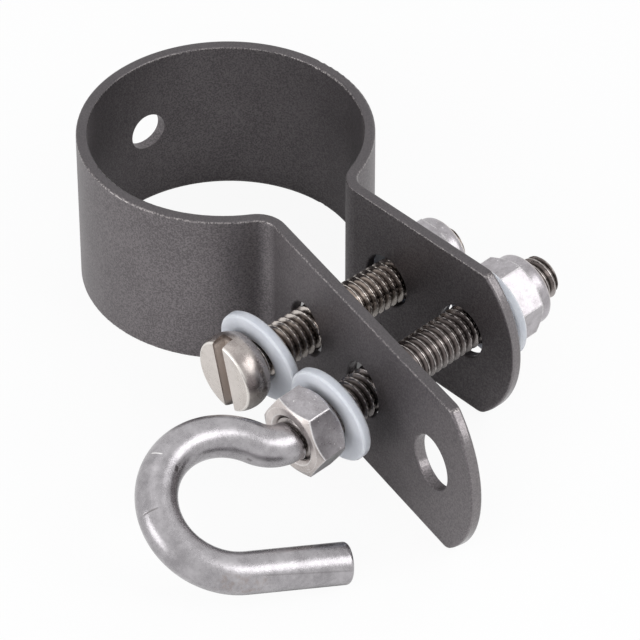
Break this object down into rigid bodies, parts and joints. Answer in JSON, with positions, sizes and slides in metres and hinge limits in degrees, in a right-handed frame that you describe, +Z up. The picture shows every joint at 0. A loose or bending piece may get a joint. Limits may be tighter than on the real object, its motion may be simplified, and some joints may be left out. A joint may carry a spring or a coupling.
{
  "type": "fence tension bar clamp",
  "caption": "Bent strip clamp that grips a round fence post between splayed ears, drawn up by a slotted screw and a hook bolt with nylon washers and lock nuts.",
  "frame": {"origin": "on the post axis, at the middle of the strip's width", "axes": "+Z up along the post; +X out between the ears; +Y toward the short ear, so the hook is on the -Y side"},
  "size_m": [0.1154, 0.0905, 0.0304],
  "materials": {
    "band_coat": "dark anthracite powder coat with fine sparkle",
    "screw_steel": "satin, slightly warm",
    "hook_steel": "satin drawn bar with die marks",
    "nut_steel": "satin",
    "nylon": "milky, slightly blue"
  },
  "bodies": {
    "root": {"clamp_band": "band_coat", "slotted_screw": "screw_steel", "screw_washer": "nylon", "screw_rear_washer": "nylon", "screw_lock_nut": "nut_steel", "screw_lock_nut_insert": "nylon", "hook_bolt": "hook_steel", "hook_nut": "nut_steel", "hook_washer": "nylon", "hook_rear_washer": "nylon", "hook_lock_nut": "nut_steel", "hook_lock_nut_insert": "nylon"}
  },
  "joints": []
}
